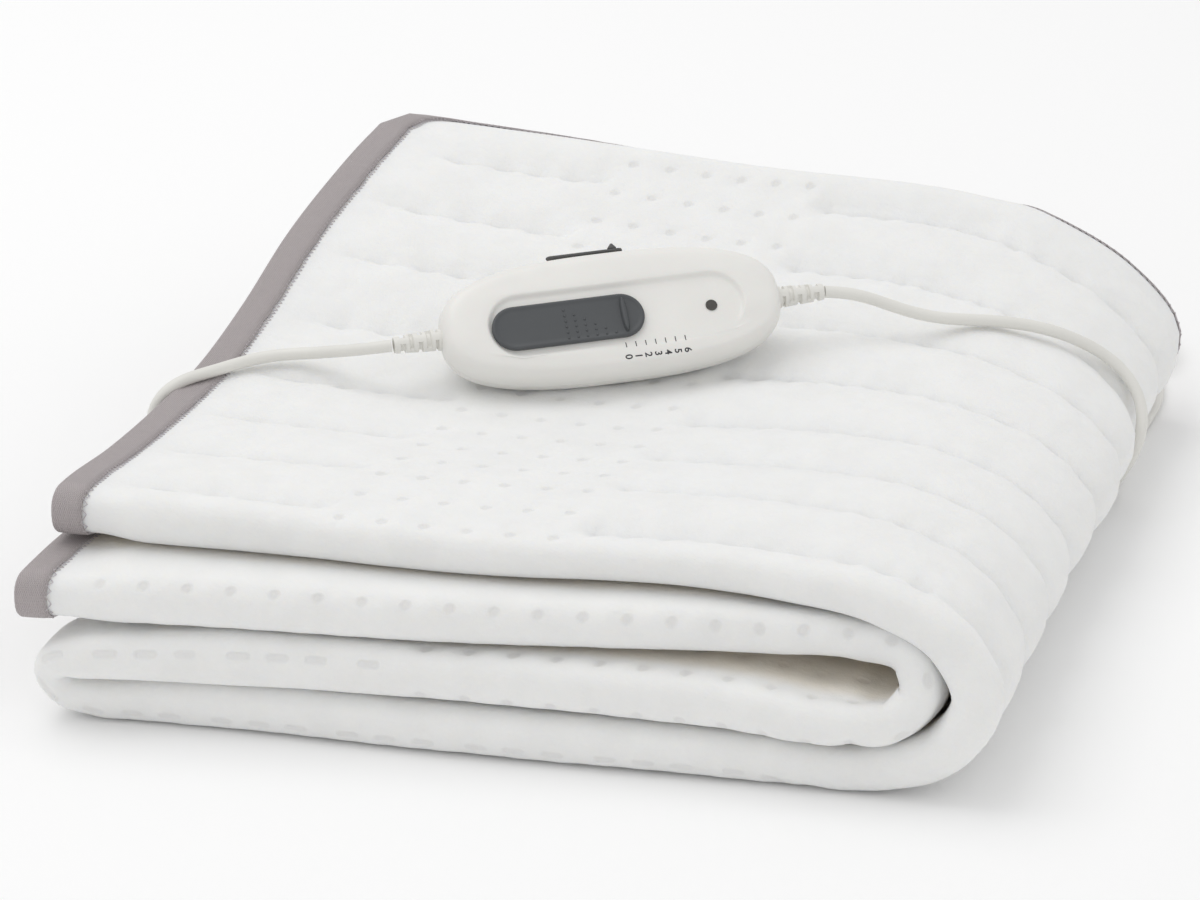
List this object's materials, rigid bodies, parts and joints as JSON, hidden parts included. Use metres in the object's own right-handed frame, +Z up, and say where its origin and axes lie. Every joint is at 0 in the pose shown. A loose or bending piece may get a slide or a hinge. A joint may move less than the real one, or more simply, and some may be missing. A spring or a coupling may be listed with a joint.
{
  "type": "electric heated blanket",
  "caption": "Folded quilted electric underblanket with a bound edge, a slider hand control on its lead, a coiled mains lead and a flat plug.",
  "frame": {"origin": "on the floor under the middle of the folded pile, on the blanket's resting face", "axes": "+Z up; +X along the folded layers, towards the two nested round folds; +Y from the front fold to the bound edges at the back"},
  "size_m": [0.4234, 0.5197, 0.1215],
  "materials": {
    "quilt": "brushed white non-woven, quilted",
    "binding": "woven grey ribbon",
    "ivory_plastic": "satin moulded",
    "dark_plastic": "fine grained",
    "ivory_cord": "smooth PVC",
    "lens": "polished",
    "pin_metal": "nickel plated"
  },
  "bodies": {
    "blanket": {"blanket": "quilt", "binding": "binding", "control_base": "ivory_plastic", "control_top": "ivory_plastic", "status_lens": "lens", "timer_track": "dark_plastic", "relief_left": "ivory_cord", "relief_right": "ivory_cord", "blanket_lead": "ivory_cord", "blanket_connector": "ivory_plastic", "mains_lead": "ivory_cord", "mains_coil": "ivory_cord", "plug_body": "ivory_cord", "plug_pin_left": "pin_metal", "plug_pin_right": "pin_metal"},
    "power_slider": {"power_slider": "dark_plastic"},
    "timer_knob": {"timer_knob": "dark_plastic"}
  },
  "joints": [
    {"name": "power_slide", "type": "slide", "parent": "blanket", "child": "power_slider", "axis": [0.8905, 0.4537, 0.0349], "range_m": [0, 0.026]},
    {"name": "timer_slide", "type": "slide", "parent": "blanket", "child": "timer_knob", "axis": [-0.8905, -0.4537, -0.0349], "range_m": [0, 0.024]}
  ]
}
